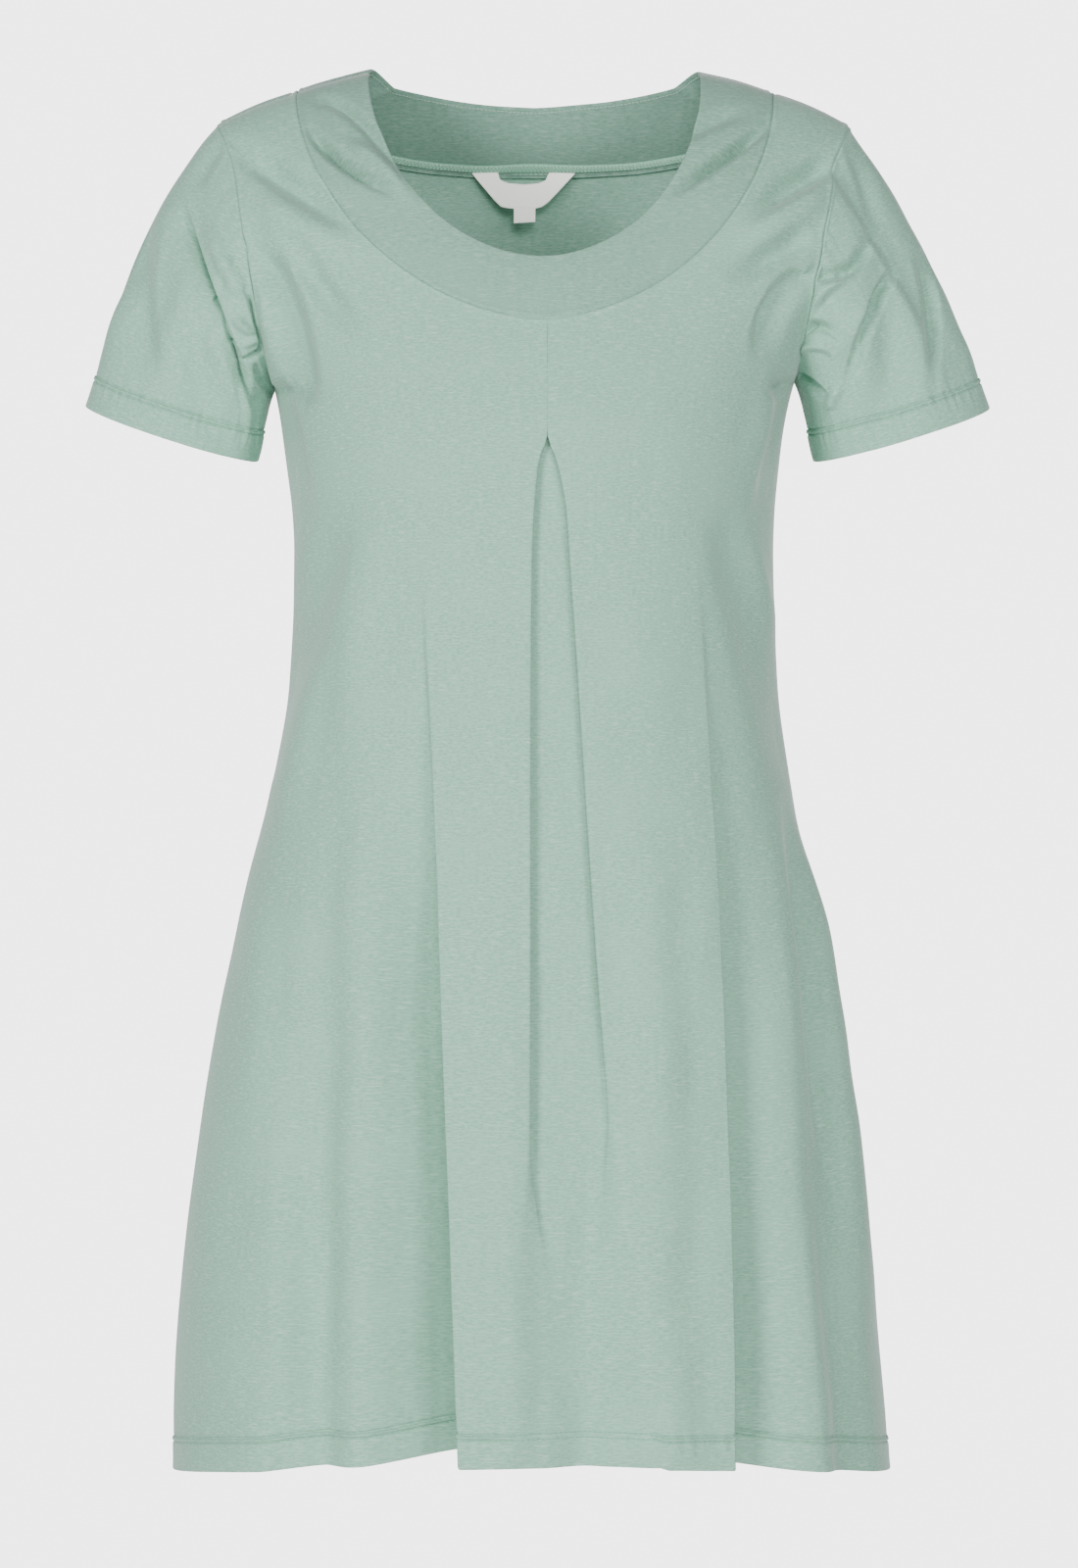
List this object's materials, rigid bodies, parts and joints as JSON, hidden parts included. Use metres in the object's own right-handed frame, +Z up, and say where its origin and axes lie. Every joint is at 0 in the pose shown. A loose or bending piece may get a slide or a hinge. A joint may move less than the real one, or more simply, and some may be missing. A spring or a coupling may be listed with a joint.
{
  "type": "mini dress",
  "caption": "Short-sleeved A-line mini dress in melange jersey: scoop neck with a wide band, inverted pleat at the centre front and stitched hems, filled out as worn.",
  "frame": {"origin": "between the two shoulder seams, level with the points where they meet the neck edge: where a wearer's shoulders hold the dress up", "axes": "+Z up, the front of the dress faces -Y, +X is to the right as seen from the front"},
  "size_m": [0.566, 0.3331, 0.8702],
  "materials": {
    "mint_jersey": "soft matt single jersey, sage to mint green melange with fine slubs along the courses",
    "woven_label": "matt off-white woven tape, left bare"
  },
  "bodies": {
    "root": {"front_panel": "mint_jersey", "back_panel": "mint_jersey", "front_neck_band": "mint_jersey", "back_neck_band": "mint_jersey", "left_sleeve": "mint_jersey", "right_sleeve": "mint_jersey", "neck_label": "woven_label", "size_tab": "woven_label"}
  },
  "joints": []
}
